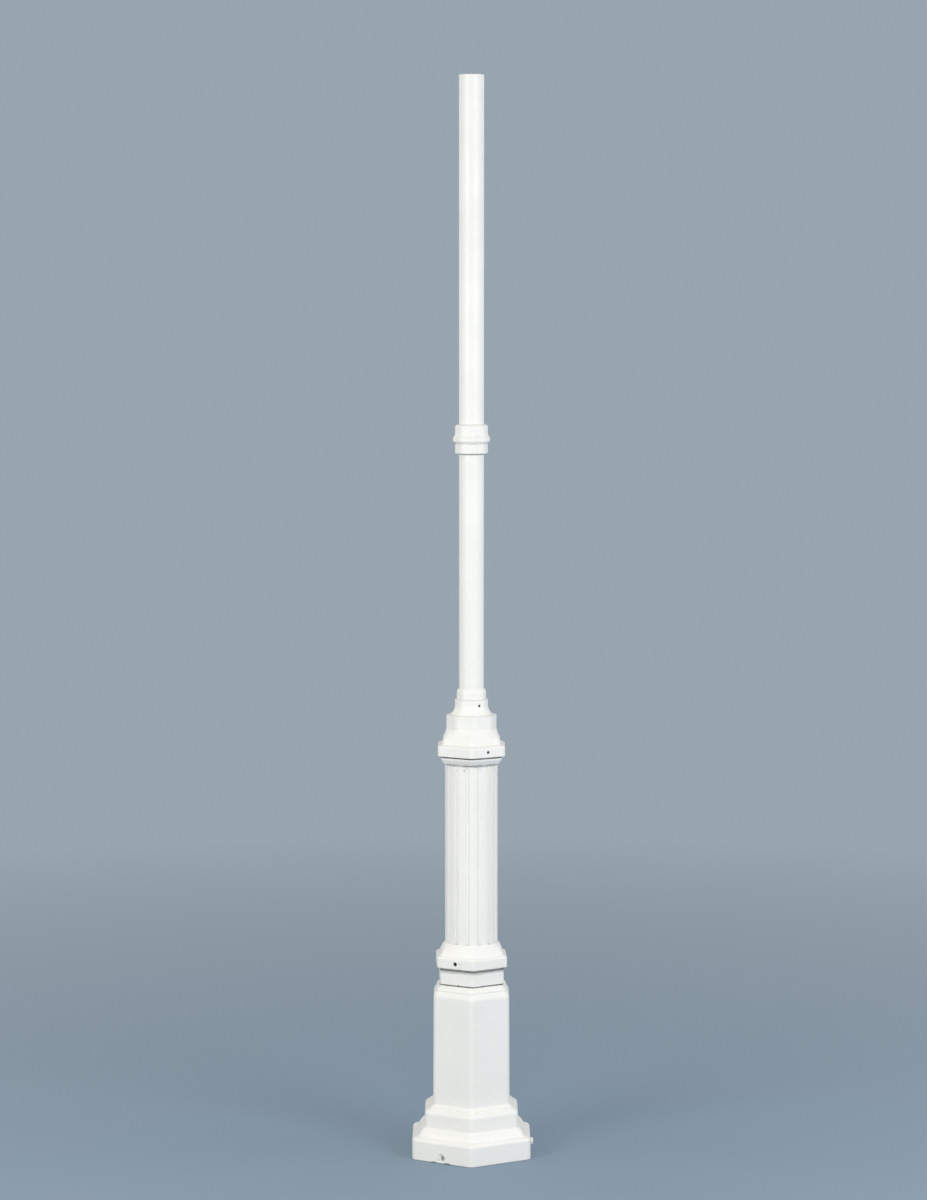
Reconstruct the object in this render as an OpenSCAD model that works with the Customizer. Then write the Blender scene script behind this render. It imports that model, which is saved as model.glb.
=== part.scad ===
// Hexagonal street lamp post of cast and tubular aluminium, painted white.
// Origin: centre of the base on the ground, +Z up along the post, a hexagon corner towards -Y.
// A hexagonal or octagonal piece is given by half its width across the flats at each height.

/* [Pole] */
// Height of the open top of the pole above the ground
post_height = 3319; // [2900:1:3800]
// Outside diameter of the pole tube
pole_diameter = 76.2; // [70:0.1:80]
// Wall of the pole tube
pole_wall = 4; // [3:0.5:6]
// Height of the joint between the two pole tubes
pole_joint = 2210; // [2207:1:2215]
// Diameter of the upper tube where the band collar holds it
spigot_diameter = 74; // [72:0.1:75]

/* [Base casting] */
// Width of the plinth across its flats
plinth_width = 365; // [350:1:380]
// Height at which the plinth's plain band ends
plinth_band = 59; // [55:1:61]
// Width of the second tier across its flats
tier_width = 288; // [280:1:292]
// Height at which the second tier's plain band starts
tier_bottom = 96; // [94:1:100]
// Height at which the second tier's plain band ends
tier_top = 135; // [130:1:140]
// Width of the pedestal across its flats, at its foot
pedestal_foot_width = 236; // [232:1:240]
// Width of the pedestal across its flats, at its head
pedestal_head_width = 233; // [228:1:235]
// Height of the pedestal's flat top
pedestal_top = 537; // [520:1:550]
// Thickness of the cast walls
cast_wall = 10; // [8:1:12]
// Diameter of the empty fixing recess in the plinth
recess_diameter = 20; // [18:1:24]
// Depth of the empty fixing recess
recess_depth = 9; // [5:0.5:10]
// Height of the empty fixing recess above the ground
recess_height = 18; // [16:1:24]
// Height of the two plinth bolts above the ground
bolt_height = 33; // [28:1:36]
// Diameter of the circle on which the ground bolts stand
anchor_circle = 250; // [240:5:260]
// Diameter of the ground bolt holes
anchor_hole = 18; // [14:1:20]
// Diameter of the cable way through the decks
cable_way = 60; // [40:1:64]

/* [Neck block and middle collar] */
// Width of the neck block across its flats
block_width = 196; // [190:1:197]
// Height at which the middle collar starts
collar_bottom = 591; // [584:1:600]
// Width of the middle collar's ring across its flats
collar_width = 216; // [211:1:218]
// Turn of the neck block and the middle collar against the base
neck_turn = 2; // [0:0.5:4]

/* [Fluted shaft] */
// Diameter of the fluted shaft
shaft_diameter = 162; // [158:0.5:163]
// Number of flutes
flute_count = 14; // [12:1:16]
// Radius of one flute
flute_radius = 8; // [7:0.5:10]
// Depth of one flute
flute_depth = 4; // [3:0.5:6]
// Wall of the fluted shaft behind the flutes
shaft_wall = 7; // [6:1:9]
// Turn of the flutes about the post
flute_turn = 4; // [0:0.5:30]

/* [Cap] */
// Height at which the trim ring below the cap starts
trim_bottom = 1223; // [1218:1:1225]
// Width of the trim ring across its flats
trim_width = 186; // [182:1:190]
// Height at which the cap ring starts
cap_bottom = 1247; // [1246:1:1252]
// Width of the cap ring across its flats
cap_width = 206; // [203:1:210]
// Width of the eight-sided drum across its flats
drum_width = 143; // [137:1:146]
// Width of the eight-sided neck collar across its flats
neck_width = 95.5; // [93:0.5:98]
// Height of the top of the neck collar
neck_top = 1418; // [1415:1:1424]
// Width of the eight-sided ring on the neck collar across its flats
neck_ring_width = 86.5; // [85:0.5:90]
// Height of the ring on the neck collar
neck_ring_height = 32; // [28:1:36]

/* [Pole band] */
// Height at which the band ring starts
band_bottom = 2173; // [2160:1:2178]
// Width of the band ring and the band collar across their flats
band_width = 96.5; // [94:0.5:100]
// Width of the bead at the foot of the band collar across its flats
bead_width = 109; // [106:1:112]
// Height of the band ring
band_ring_height = 30; // [26:1:32]
// Height of the band collar
band_collar_height = 59; // [54:1:66]

/* [Set screws] */
// Diameter of the set screws in the collars
screw_diameter = 12.5; // [10:0.5:14]
// How far the set screws stand below the surface
screw_recess = 4; // [2:0.5:6]

/* [Hidden] */

$fn = 96;
paint = "#eef0ee";
steel = "#3a3c3f";
far = 1000;

// Clearances: a sliding fit between tubes and collars
fit = 0.4;

// The octagons have one flat in line with the hexagon's flat at 300 degrees
octagon_turn = 30;

// Directions of the fixings, at the middles of the flats
recess_angle = 240;
bolt_angles = [0, 120];
anchor_angles = [60, 180, 300];
collar_screw_angles = [240 + neck_turn, neck_turn, 120 + neck_turn];
cap_screw_angles = [300, 60, 180];
neck_screw_angles = [300, 120];

// Heights of the set screws above the foot of each band, and the shallower recess of the neck screws
collar_screw_height = 17;
cap_screw_height = 16.5;
neck_screw_height = 10;
neck_screw_recess = 2;
// Width across the flats of a set screw's socket, over the screw's diameter
socket_share = 0.5;

// Base casting, half widths
plinth = plinth_width / 2;
tier = tier_width / 2;
foot = pedestal_foot_width / 2;
head = pedestal_head_width / 2;
block = block_width / 2;
// Flat ovolo between the plinth's sloping top and the foot of the second tier
ovolo_ledge = 1.5;
ovolo_foot = plinth_band + 12;
ovolo_knee = [0.41, 0.55];
plinth_round = 8;
plinth_slope = 10.5;
// Quarter round on the second tier, and the cove that runs up into the pedestal
tier_round = 17;
cove_radius = 9;
cove_quirk = 7;
cove_foot = tier_top + tier_round + cove_quirk;
// Small step between the cove and the face of the pedestal
quirk = 0.5;
// Two rounded steps at the pedestal's head, each as its way in and its way up
low_step = [8, 14];
high_step = [8, 13];
head_groove = 3;
head_foot = pedestal_top - 34.5;
// Inside of the pedestal's head
throat = block - cast_wall - 4;
throat_foot = pedestal_top - 48;
throat_height = 18;

// Neck block: a rebate at its foot shows as a dark joint, as its depth and its height
rebate = [4, 3];

// Middle collar: a ring, and a shoulder that turns from six sides to round
collar = collar_width / 2;
collar_band = 29;
collar_round = 5;
collar_top = collar_bottom + 73;
shoulder_foot = collar_bottom + collar_band + collar_round;
shoulder = 97;
shoulder_slope = 4;
shoulder_waist = 94;
shoulder_height = 22;
collar_lip = 3;

// Shaft
shaft_radius = shaft_diameter / 2;
shaft_bore = shaft_radius - flute_depth - shaft_wall;
shaft_socket = cap_bottom + 27;

// Trim ring: its lower part tapers towards the shaft
trim = trim_width / 2;
trim_height = 21;
trim_taper = 8;
trim_band = 4;
trim_round = 2;

// Cap: hub on the trim ring, ring, skirt that turns from six sides to round, drum and neck
cap_ring = cap_width / 2;
cap_hub = 86;
cap_band = 27;
cap_round = 4;
skirt = 88;
skirt_bottom = cap_bottom + 37;
skirt_top = cap_bottom + 49;
skirt_waist = 83;
skirt_waist_height = 12;
skirt_head = 77;
drum = drum_width / 2;
drum_bottom = cap_bottom + 80;
drum_top = cap_bottom + 122;
drum_round = 2;
neck = neck_width / 2;
neck_bottom = cap_bottom + 144;
neck_round = 2;
pole_seat = cap_bottom + 45;

// Neck ring and its sloping shoulder
neck_ring = neck_ring_width / 2;
neck_shoulder = [4, 12];

// Pole band
band = band_width / 2;
bead = bead_width / 2;
bead_radius = 5;
bead_band = 3;
band_groove = 5;
band_round = 3;
band_top = band_bottom + band_ring_height + band_collar_height;

// ---- Outlines, seen from the side and the same on both sides of the axis ----

// Plain band of half width a from height z0 to z1
module plain(a, z0, z1) {
  translate([-a, z0])
    square([2 * a, z1 - z0]);
}

// Sloping band, half width a0 at height z0 and a1 at z1
module slope(a0, z0, a1, z1) {
  polygon([[-a0, z0], [a0, z0], [a1, z1], [-a1, z1]]);
}

// Convex quarter round of radius r that starts at half width a, height z and goes up and in
module round_in(a, z, r) {
  intersection() {
    union() {
      plain(a - r, z, z + r);
      for (side = [-1, 1])
        translate([side * (a - r), z])
          circle(r);
    }
    plain(a, z, z + r);
  }
}

// The same round upside down: it ends at half width a and height z
module round_out(a, z, r) {
  translate([0, z])
    mirror([0, 1])
      round_in(a, 0, r);
}

// Edge eased in two flats, from half width a at height z, by the way in and up given as size;
// the flats meet at the given shares of the way in and the way up
module eased(a, z, size, share = [0.3, 0.6]) {
  knee = [a - share[0] * size[0], z + share[1] * size[1]];
  slope(a, z, knee[0], knee[1]);
  slope(knee[0], knee[1], a - size[0], z + size[1]);
}

// Concave quarter round of radius r, from half width a at height z up to a - r
module cove(a, z, r) {
  difference() {
    plain(a, z, z + r);
    for (side = [-1, 1])
      translate([side * a, z + r])
        circle(r);
  }
}

// ---- Solids ----

// Prism with equal mitred sides, from the outline given as its child
module mitred(sides, turn = 0) {
  intersection_for (i = [0 : sides / 2 - 1])
    rotate([90, 0, turn + i * 360 / sides])
      linear_extrude(far, center = true)
        children();
}

module hexagonal(turn = 0) {
  mitred(6, turn)
    children();
}

module octagonal() {
  mitred(8, octagon_turn)
    children();
}

// Upright round rod or bore
module rod(d, z0, z1) {
  translate([0, 0, z0])
    cylinder(d = d, h = z1 - z0);
}

// Level rod or bore that points outwards at an angle, from radius r0 to r1
module spoke(angle, z, d, r0, r1) {
  rotate([0, 0, angle])
    translate([r0, 0, z])
      rotate([0, 90, 0])
        cylinder(d = d, h = r1 - r0);
}

// Socket set screw from its tip at radius r0 to its socket end at r1
module set_screw(angle, z, r0, r1) {
  socket_depth = screw_diameter / 2;
  difference() {
    spoke(angle, z, screw_diameter, r0, r1);
    rotate([0, 0, angle])
      translate([r1 - socket_depth, 0, z])
        rotate([0, 90, 0])
          cylinder(d = screw_diameter * socket_share / cos(30), h = 2 * socket_depth, $fn = 6);
  }
}

// ---- Base ----

module base_foot_outline() {
  edge = plinth - plinth_round;
  ovolo = edge - plinth_slope;
  plain(plinth, 0, plinth_band);
  eased(plinth, plinth_band, [plinth_round, plinth_round]);
  slope(edge, plinth_band + plinth_round, ovolo, ovolo_foot);
  eased(ovolo, ovolo_foot, [ovolo - tier - ovolo_ledge, tier_bottom - ovolo_foot], ovolo_knee);
  plain(tier, tier_bottom, tier_top);
  round_in(tier, tier_top, tier_round);
  plain(foot + cove_radius, tier_top + tier_round, cove_foot);
  cove(foot + cove_radius, cove_foot, cove_radius);
}

module pedestal_outline() {
  step = head - low_step[0];
  groove_foot = head_foot + low_step[1];
  step_foot = groove_foot + head_groove;
  plain(foot - cast_wall / 2, tier_bottom, head_foot);
  slope(foot - quirk, cove_foot, head, head_foot);
  eased(head, head_foot, low_step);
  plain(step - 1, groove_foot, step_foot);
  eased(step, step_foot, high_step);
  plain(block, step_foot, pedestal_top);
}

module base_hollow_outline() {
  plinth_hollow = plinth - cast_wall - 2;
  tier_hollow = tier - cast_wall;
  foot_hollow = foot - cast_wall;
  chamber_top = plinth_band - cast_wall;
  tier_step = tier_bottom - 2;
  foot_step = tier_top + 14;
  plain(plinth_hollow, -1, chamber_top);
  slope(plinth_hollow, chamber_top, tier_hollow, tier_step);
  plain(tier_hollow, tier_step, tier_top);
  slope(tier_hollow, tier_top, foot_hollow, foot_step);
  slope(foot_hollow, foot_step, head - cast_wall, throat_foot);
  slope(head - cast_wall, throat_foot, throat, throat_foot + throat_height);
  plain(throat, throat_foot + throat_height, pedestal_top - cast_wall);
}

module anchor_lug(angle) {
  lug_height = 18;
  lug_width = 46;
  rotate([0, 0, angle]) {
    translate([anchor_circle / 2, 0, 0])
      cylinder(d = lug_width, h = lug_height);
    translate([anchor_circle / 2, -lug_width / 2, 0])
      cube([plinth - cast_wall - anchor_circle / 2, lug_width, lug_height]);
  }
}

module base_casting() {
  color(paint)
    difference() {
      union() {
        difference() {
          union() {
            hexagonal() base_foot_outline();
            hexagonal() pedestal_outline();
          }
          hexagonal() base_hollow_outline();
        }
        for (angle = anchor_angles)
          anchor_lug(angle);
      }
      rod(2 * cable_way, pedestal_top - 2 * cast_wall, pedestal_top + 1);
      for (angle = anchor_angles)
        rotate([0, 0, angle])
          translate([anchor_circle / 2, 0, 0])
            rod(anchor_hole, -1, plinth_band);
      spoke(recess_angle, recess_height, recess_diameter, plinth - recess_depth, plinth + 1);
      for (angle = bolt_angles)
        spoke(angle, bolt_height, screw_diameter, plinth - 2 * cast_wall, plinth + 1);
    }
}

module plinth_bolt(angle) {
  head_width = 18;
  head_height = 8;
  shank = 30;
  color(paint)
    union() {
      spoke(angle, bolt_height, screw_diameter, plinth - shank, plinth);
      rotate([0, 0, angle])
        translate([plinth, 0, bolt_height])
          rotate([0, 90, 0])
            cylinder(d = head_width / cos(30), h = head_height, $fn = 6);
    }
}

// ---- Neck block and middle collar ----

module neck_block() {
  color(paint)
    difference() {
      hexagonal(neck_turn) {
        plain(block - rebate[0], pedestal_top, pedestal_top + rebate[1]);
        plain(block, pedestal_top + rebate[1], collar_bottom);
      }
      hexagonal(neck_turn) plain(block - cast_wall, pedestal_top - 1, collar_bottom - cast_wall);
      rod(cable_way, pedestal_top, collar_bottom + 1);
    }
}

module collar_outline() {
  band_top = collar_bottom + collar_band;
  round_out(collar, collar_bottom + collar_lip, collar_lip);
  plain(collar, collar_bottom + collar_lip, band_top);
  round_in(collar, band_top, collar_round);
  slope(collar - collar_round, shoulder_foot, shoulder, shoulder_foot + shoulder_slope);
  slope(shoulder, shoulder_foot + shoulder_slope, shoulder_waist, shoulder_foot + shoulder_height);
  slope(shoulder_waist, shoulder_foot + shoulder_height, shaft_radius + collar_lip, collar_top);
}

module middle_collar() {
  corner = shoulder / cos(30);
  color(paint)
    difference() {
      intersection() {
        hexagonal(neck_turn) collar_outline();
        union() {
          rod(3 * collar, collar_bottom - 1, shoulder_foot + shoulder_slope);
          translate([0, 0, shoulder_foot + shoulder_slope])
            cylinder(r1 = corner + 1, r2 = shaft_radius + collar_lip, h = collar_top - shoulder_foot);
        }
      }
      rod(shaft_diameter + 2 * fit, collar_bottom - 1, collar_top + 2);
      for (angle = collar_screw_angles)
        spoke(angle, collar_bottom + collar_screw_height, screw_diameter, shaft_bore, collar + 1);
    }
}

module collar_screw(angle) {
  color(steel)
    set_screw(angle, collar_bottom + collar_screw_height, shaft_radius, collar - screw_recess);
}

// ---- Fluted shaft ----

module fluted_shaft() {
  color(paint)
    translate([0, 0, collar_bottom])
      linear_extrude(shaft_socket - collar_bottom)
        difference() {
          circle(shaft_radius);
          circle(shaft_bore);
          for (i = [0 : flute_count - 1])
            rotate(flute_turn + i * 360 / flute_count)
              translate([shaft_radius + flute_radius - flute_depth, 0])
                circle(flute_radius);
        }
}

// ---- Cap ----

module trim_ring() {
  band_foot = trim_bottom + trim_height - trim_band - trim_round;
  color(paint)
    difference() {
      hexagonal() {
        slope(trim - trim_taper, trim_bottom, trim, band_foot);
        plain(trim, band_foot, band_foot + trim_band);
        round_in(trim, band_foot + trim_band, trim_round);
      }
      rod(shaft_diameter + 2 * fit, trim_bottom - 1, trim_bottom + trim_height + 1);
    }
}

module cap_skirt_outline() {
  band_top = cap_bottom + cap_band;
  waist_height = skirt_top + skirt_waist_height;
  plain(cap_hub, trim_bottom + trim_height, cap_bottom);
  round_out(cap_ring, cap_bottom + cap_round / 2, cap_round / 2);
  plain(cap_ring, cap_bottom + cap_round / 2, band_top);
  round_in(cap_ring, band_top, cap_round);
  slope(cap_ring - cap_round, band_top + cap_round, skirt, skirt_bottom);
  plain(skirt, skirt_bottom, skirt_top);
  slope(skirt, skirt_top, skirt_waist, waist_height);
  slope(skirt_waist, waist_height, skirt_head, drum_bottom);
}

module drum_outline() {
  flare = neck_bottom - drum_top - drum_round;
  plain(drum, skirt_bottom, drum_top);
  round_in(drum, drum_top, drum_round);
  slope(neck + flare, drum_top + drum_round, neck + flare / 3, neck_bottom - flare / 2);
  slope(neck + flare / 3, neck_bottom - flare / 2, neck, neck_bottom);
  plain(neck, neck_bottom, neck_top - neck_round);
  round_in(neck, neck_top - neck_round, neck_round);
}

module cap() {
  corner = skirt / cos(30);
  color(paint)
    difference() {
      union() {
        intersection() {
          hexagonal() cap_skirt_outline();
          union() {
            rod(3 * cap_ring, trim_bottom, skirt_top - 2);
            translate([0, 0, skirt_top - 2])
              cylinder(r1 = corner, r2 = skirt_head, h = drum_bottom - skirt_top + 2);
          }
        }
        octagonal() drum_outline();
      }
      rod(shaft_diameter + 2 * fit, trim_bottom, shaft_socket);
      rod(cable_way, shaft_socket - 1, neck_top);
      rod(pole_diameter + 2 * fit, pole_seat, neck_top + 1);
      for (angle = cap_screw_angles)
        spoke(angle, cap_bottom + cap_screw_height, screw_diameter, shaft_bore, cap_ring + 1);
      for (angle = neck_screw_angles)
        spoke(angle, neck_bottom + neck_screw_height, screw_diameter, pole_diameter / 4, neck + 1);
    }
}

module cap_screw(angle) {
  color(steel)
    set_screw(angle, cap_bottom + cap_screw_height, shaft_radius, cap_ring - screw_recess);
}

module neck_screw(angle) {
  color(steel)
    set_screw(angle, neck_bottom + neck_screw_height, pole_diameter / 2, neck - neck_screw_recess);
}

module neck_ring() {
  shoulder_z = neck_top + neck_ring_height - neck_shoulder[1];
  color(paint)
    difference() {
      octagonal() {
        plain(neck_ring, neck_top, shoulder_z);
        eased(neck_ring, shoulder_z, neck_shoulder);
      }
      rod(pole_diameter + 2 * fit, neck_top - 1, neck_top + neck_ring_height + 1);
    }
}

// ---- Pole ----

module lower_pole() {
  color(paint)
    difference() {
      rod(pole_diameter, pole_seat, pole_joint);
      rod(pole_diameter - 2 * pole_wall, pole_seat - 1, pole_joint + 1);
    }
}

module upper_pole() {
  color(paint)
    difference() {
      union() {
        rod(spigot_diameter, pole_joint, band_top);
        rod(pole_diameter, band_top, post_height);
      }
      rod(pole_diameter - 2 * pole_wall, pole_joint - 1, post_height + 1);
    }
}

module band_ring() {
  color(paint)
    difference() {
      octagonal() {
        round_out(band, band_bottom + band_round, band_round);
        plain(band, band_bottom + band_round, band_bottom + band_ring_height - band_round);
        round_in(band, band_bottom + band_ring_height - band_round, band_round);
      }
      rod(pole_diameter + 2 * fit, band_bottom - 1, band_bottom + band_ring_height + 1);
    }
}

module band_collar_outline() {
  foot_z = band_bottom + band_ring_height;
  bead_foot = foot_z + band_groove + bead_radius;
  bead_top = bead_foot + bead_band;
  flare = bead - band;
  plain(band - 4, foot_z, bead_foot);
  round_out(bead, bead_foot, bead_radius);
  plain(bead, bead_foot, bead_top);
  slope(bead, bead_top, band + flare / 3, bead_top + flare);
  slope(band + flare / 3, bead_top + flare, band, bead_top + 2 * flare);
  plain(band, bead_top + 2 * flare, band_top - 2 * band_round);
  round_in(band, band_top - 2 * band_round, 2 * band_round);
}

module band_collar() {
  color(paint)
    difference() {
      octagonal() band_collar_outline();
      rod(pole_diameter + 2 * fit, band_bottom, pole_joint);
      rod(spigot_diameter, pole_joint - 1, band_top + 1);
    }
}

base_casting();
neck_block();
middle_collar();
fluted_shaft();
trim_ring();
cap();
neck_ring();
lower_pole();
band_ring();
band_collar();
upper_pole();
plinth_bolt(bolt_angles[0]);  // plinth_bolt_right
plinth_bolt(bolt_angles[1]);  // plinth_bolt_back
collar_screw(collar_screw_angles[0]);  // collar_screw_front
collar_screw(collar_screw_angles[1]);  // collar_screw_right
collar_screw(collar_screw_angles[2]);  // collar_screw_back
cap_screw(cap_screw_angles[0]);  // cap_screw_front
cap_screw(cap_screw_angles[1]);  // cap_screw_right
cap_screw(cap_screw_angles[2]);  // cap_screw_left
neck_screw(neck_screw_angles[0]);  // neck_screw_front
neck_screw(neck_screw_angles[1]);  // neck_screw_back
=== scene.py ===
import math

import bmesh
import bpy
from mathutils import Matrix, Vector, noise
from mathutils.geometry import interpolate_bezier


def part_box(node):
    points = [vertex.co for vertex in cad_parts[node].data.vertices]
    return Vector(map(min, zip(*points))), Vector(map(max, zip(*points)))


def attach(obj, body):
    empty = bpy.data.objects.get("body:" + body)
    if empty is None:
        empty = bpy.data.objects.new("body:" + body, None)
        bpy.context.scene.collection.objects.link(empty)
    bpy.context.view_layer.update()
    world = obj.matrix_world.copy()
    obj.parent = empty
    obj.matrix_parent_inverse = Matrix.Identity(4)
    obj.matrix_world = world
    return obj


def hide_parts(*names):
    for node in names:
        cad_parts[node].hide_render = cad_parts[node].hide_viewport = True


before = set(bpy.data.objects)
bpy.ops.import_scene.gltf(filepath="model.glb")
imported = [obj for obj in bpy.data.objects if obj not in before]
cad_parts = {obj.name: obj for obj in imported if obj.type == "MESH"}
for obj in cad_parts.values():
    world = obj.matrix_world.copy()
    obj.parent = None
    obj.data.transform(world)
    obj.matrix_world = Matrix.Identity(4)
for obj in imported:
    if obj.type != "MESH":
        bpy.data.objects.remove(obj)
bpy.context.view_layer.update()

mm = 0.001          # the pieces are set in millimetres, the finishes and the studio in metres
hexFlat = 0         # direction of one flat of the six-sided pieces, in degrees
octFlat = 30        # direction of one flat of the eight-sided pieces
neckTurn = 2        # the neck block and the middle collar stand a little askew
samePoint = 1e-6    # points closer than this are one point, in metres
crispAngle = 38     # edges that turn more than this stay crisp, in degrees


# Outlines go round a piece's wall, seen in section. Each corner is its half width, its height, how far
# its rounding reaches and its share of roundness: 0 keeps the ring's flats, 1 is a plain circle.

ringShape = {"cornerShare": 0.1, "cornerSteps": 8, "longSide": 0.3}


def flatRing(sides, flat, cuts=0):  # loop of half width 1; each point knows its corner and its way out
    def draw(bm):
        s = ringShape
        turn = math.radians(flat - 90 - 180 / sides)  # a circle's first corner is on +Y
        disc = bmesh.ops.create_circle(bm, cap_ends=True, segments=sides,
                                       radius=1 / math.cos(math.pi / sides),
                                       matrix=Matrix.Rotation(turn, 4, "Z"))
        tips = [vert.co.copy() for vert in disc["verts"]]
        bmesh.ops.bevel(bm, geom=disc["verts"], affect="VERTICES", offset_type="OFFSET",
                        offset=s["cornerShare"] * math.tan(math.pi / sides),
                        segments=s["cornerSteps"], profile=0.5, material=-1)
        core, out = ringLayers(bm)
        for vert in bm.verts:
            tip = max(tips, key=vert.co.dot)
            vert[core] = tip
            vert[out] = (vert.co - tip * (1 - s["cornerShare"])) / s["cornerShare"]
        if cuts:
            longSides = [edge for edge in bm.edges if edge.calc_length() > s["longSide"]]
            bmesh.ops.subdivide_edges(bm, edges=longSides, cuts=cuts)
        bmesh.ops.delete(bm, geom=bm.faces[:], context="FACES_ONLY")
    return draw


def ringLayers(bm):
    return bm.verts.layers.float_vector.new("core"), bm.verts.layers.float_vector.new("out")


def roundRing(segments, shape=None):  # shape moves each point of the round loop in or out
    def draw(bm):
        bmesh.ops.create_circle(bm, cap_ends=False, segments=segments, radius=1)
        core, out = ringLayers(bm)
        for vert in bm.verts:
            if shape:
                vert.co *= shape(math.atan2(vert.co.y, vert.co.x))
            vert[core] = vert[out] = vert.co
    return draw


rounding = {"steps": 5, "pull": 0.45}


def softLine(corners, closed):  # the outline with its corners rounded
    line = [Vector((corner[0], corner[1], corner[3] if len(corner) > 3 else 0)) for corner in corners]
    points = []
    for i, here in enumerate(line):
        reach = corners[i][2]
        if reach == 0 or (not closed and i in (0, len(line) - 1)):
            points.append(here)
            continue
        ends = []
        for j in (i - 1, (i + 1) % len(line)):
            away = line[j] - here
            ends.append(here + away * reach / max(away.length, reach + corners[j][2]))
        points += interpolate_bezier(ends[0], here.lerp(ends[0], rounding["pull"]),
                                     here.lerp(ends[1], rounding["pull"]), ends[1], rounding["steps"])
    return points


def loft(ring, corners, corner=0, closed=True):  # a wall that follows the outline, ring by ring
    bm = bmesh.new()
    ring(bm)
    core, out = bm.verts.layers.float_vector["core"], bm.verts.layers.float_vector["out"]
    edges = bm.edges[:]
    line = softLine(corners, closed)
    if closed:
        line.append(line[0])
    for i, (halfWidth, height, share) in enumerate(line):
        if i:
            grown = bmesh.ops.extrude_edge_only(bm, edges=edges)["geom"]
            edges = [e for e in grown if isinstance(e, bmesh.types.BMEdge) and e.is_boundary]
        for vert in {v for e in edges for v in e.verts}:  # a corner's rounding keeps its size all the way
            place = vert[core] * (halfWidth - corner) + vert[out] * corner
            place = place.lerp(place.normalized() * halfWidth, share)
            vert.co = (place + Vector((0, 0, height))) * mm
    bmesh.ops.remove_doubles(bm, verts=bm.verts[:], dist=samePoint)
    if not closed:
        bmesh.ops.holes_fill(bm, edges=[e for e in bm.edges if e.is_boundary], sides=0)
    bmesh.ops.recalc_face_normals(bm, faces=bm.faces[:])
    return bm


def steps(across, level, profile):  # corners given by their way out and up from one point
    return [(across + out, level + up, *rest) for out, up, *rest in profile]


def turned(angle):
    return Matrix.Rotation(math.radians(angle), 4, "Z")


def aim(bm, angle, height):  # lays a shape made upright along a level line that points outwards
    bmesh.ops.transform(bm, verts=bm.verts[:], matrix=Matrix.Translation((0, 0, height * mm))
                        @ turned(angle) @ Matrix.Rotation(math.radians(90), 4, "Y"))
    return bm


def meshFrom(name, bm, material):
    mesh = bpy.data.meshes.new(name)
    for face in bm.faces:
        face.smooth = True
    bm.to_mesh(mesh)
    bm.free()
    mesh.materials.append(material)
    shape = bpy.data.objects.new(name, mesh)
    bpy.context.scene.collection.objects.link(shape)
    return shape


def carve(piece, others, operation="DIFFERENCE"):
    for other in others:
        step = piece.modifiers.new("carve", "BOOLEAN")
        step.operation = operation
        step.object = other
        step.solver = "EXACT"
        step.material_mode = "TRANSFER"
    depsgraph = bpy.context.evaluated_depsgraph_get()
    carved = bpy.data.meshes.new_from_object(piece.evaluated_get(depsgraph))
    bm = bmesh.new()
    bm.from_mesh(carved)
    bmesh.ops.dissolve_degenerate(bm, dist=samePoint, edges=bm.edges[:])
    bm.to_mesh(carved)
    bm.free()
    piece.modifiers.clear()
    whole = piece.data
    piece.data = carved
    bpy.data.meshes.remove(whole)
    for other in others:
        bpy.data.objects.remove(other)


def finishPiece(piece, slot, *nodes):  # crisp edges stay crisp, flats stay flat
    piece.data.set_sharp_from_angle(angle=math.radians(crispAngle))
    flats = piece.modifiers.new("flats", "WEIGHTED_NORMAL")
    flats.keep_sharp = True
    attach(piece, "root")
    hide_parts(*nodes)
    print(piece.name, len(piece.data.polygons), "faces")


def levels(node):  # lowest and highest height of a node, in millimetres
    low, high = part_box(node)
    return low.z / mm, high.z / mm


def extent(node):  # how far a node goes along X, which is a round piece's radius
    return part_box(node)[1].x / mm


def halfAcross(node, sides, flat):  # half its width across the flats
    corners = [math.radians(flat + 180 / sides + i * 360 / sides) for i in range(sides)]
    widest = max(math.cos(corner) for corner in corners) / math.cos(math.pi / sides)
    return extent(node) / widest


cutter = {"segments": 40, "past": 6}


def drill(angle, height, radius, start, end, mouth, material):  # cutter with a flared mouth
    s = cutter
    outline = [
        (radius, start, 0, 1),
        (radius, end - mouth, 0, 1),
        (radius + mouth, end, 0, 1),
        (radius + 2 * mouth, end + s["past"], 0, 1),
    ]
    bm = loft(roundRing(s["segments"]), outline, closed=False)
    return meshFrom("drill", aim(bm, angle, height), material)


ragged = {"fineness": 4, "rough": 0.35, "grain": 1.6, "falloff": 0.8, "spread": 2.2, "layers": 3}


def lump(angle, halfWidth, aside, height, size, seed, material):  # ragged cutter on a flat
    s = ragged
    bm = bmesh.new()
    bmesh.ops.create_icosphere(bm, subdivisions=s["fineness"], radius=1)
    for vert in bm.verts:
        vert.co *= 1 + s["rough"] * noise.fractal(vert.co * s["grain"] + Vector((seed, 0, 0)),
                                                  s["falloff"], s["spread"], s["layers"])
    bmesh.ops.transform(bm, verts=bm.verts[:], matrix=turned(angle)
                        @ Matrix.Translation(Vector((halfWidth, aside, height)) * mm)
                        @ Matrix.Diagonal(Vector(size) * mm).to_4x4())
    return meshFrom("lump", bm, material)


# Small helpers for the paints' nodes

def effect(name, inputs, output):  # a node group, its input node and its output's socket
    group = bpy.data.node_groups.new(name, "ShaderNodeTree")
    for label, value in inputs.items():
        socket = group.interface.new_socket(label, in_out="INPUT", socket_type="NodeSocketFloat")
        socket.default_value = value
    group.interface.new_socket(output, in_out="OUTPUT", socket_type="NodeSocketFloat")
    given = group.nodes.new("NodeGroupInput")
    return group, given.outputs, group.nodes.new("NodeGroupOutput").inputs[0]


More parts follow.
